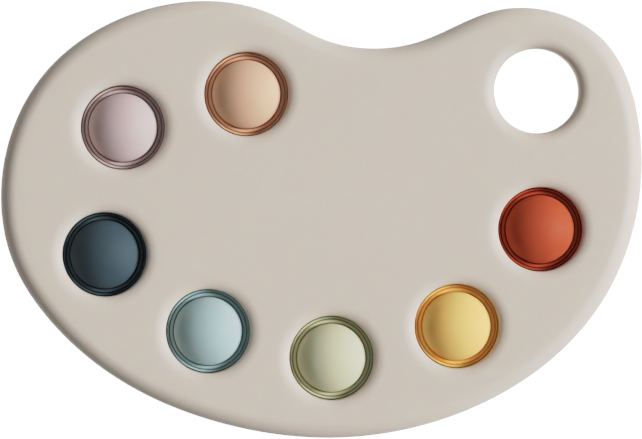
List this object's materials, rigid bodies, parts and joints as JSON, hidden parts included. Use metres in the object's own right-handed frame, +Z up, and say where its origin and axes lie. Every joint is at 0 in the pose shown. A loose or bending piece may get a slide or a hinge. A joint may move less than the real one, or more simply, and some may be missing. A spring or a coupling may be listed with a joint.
{
  "type": "palette-shaped press toy",
  "caption": "Kidney-shaped soft silicone palette with a thumb hole and coloured domed poppers that press through from one face to the other.",
  "frame": {"origin": "centre of the outline's bounding box, on the underside that the toy rests on", "axes": "+X along the length towards the thumb hole, +Y towards the notched long edge, +Z up out of the face that the domes stand in"},
  "size_m": [0.1923, 0.1312, 0.0148],
  "materials": {
    "sand_silicone": "matt, pale sand, faintly speckled",
    "lilac_silicone": "satin, lilac",
    "peach_silicone": "satin, peach",
    "navy_silicone": "satin, dark navy",
    "blue_silicone": "satin, pale blue",
    "green_silicone": "satin, sage green",
    "yellow_silicone": "satin, warm yellow",
    "red_silicone": "satin, rust red"
  },
  "bodies": {
    "palette": {"palette_body": "sand_silicone", "lilac_rim": "lilac_silicone", "lilac_web": "lilac_silicone", "peach_rim": "peach_silicone", "peach_web": "peach_silicone", "navy_rim": "navy_silicone", "navy_web": "navy_silicone", "blue_rim": "blue_silicone", "blue_web": "blue_silicone", "green_rim": "green_silicone", "green_web": "green_silicone", "yellow_rim": "yellow_silicone", "yellow_web": "yellow_silicone", "red_rim": "red_silicone", "red_web": "red_silicone"},
    "lilac_dome": {"lilac_button": "lilac_silicone"},
    "peach_dome": {"peach_button": "peach_silicone"},
    "navy_dome": {"navy_button": "navy_silicone"},
    "blue_dome": {"blue_button": "blue_silicone"},
    "green_dome": {"green_button": "green_silicone"},
    "yellow_dome": {"yellow_button": "yellow_silicone"},
    "red_dome": {"red_button": "red_silicone"}
  },
  "joints": [
    {"name": "lilac_press", "type": "slide", "parent": "palette", "child": "lilac_dome", "axis": [0, 0, -1], "range_m": [0, 0.0125], "deforming": ["lilac_web"]},
    {"name": "peach_press", "type": "slide", "parent": "palette", "child": "peach_dome", "axis": [0, 0, -1], "range_m": [0, 0.0125], "deforming": ["peach_web"]},
    {"name": "navy_press", "type": "slide", "parent": "palette", "child": "navy_dome", "axis": [0, 0, -1], "range_m": [0, 0.0125], "deforming": ["navy_web"]},
    {"name": "blue_press", "type": "slide", "parent": "palette", "child": "blue_dome", "axis": [0, 0, -1], "range_m": [0, 0.0125], "deforming": ["blue_web"]},
    {"name": "green_press", "type": "slide", "parent": "palette", "child": "green_dome", "axis": [0, 0, -1], "range_m": [0, 0.0125], "deforming": ["green_web"]},
    {"name": "yellow_press", "type": "slide", "parent": "palette", "child": "yellow_dome", "axis": [0, 0, -1], "range_m": [0, 0.0125], "deforming": ["yellow_web"]},
    {"name": "red_press", "type": "slide", "parent": "palette", "child": "red_dome", "axis": [0, 0, -1], "range_m": [0, 0.0125], "deforming": ["red_web"]}
  ]
}
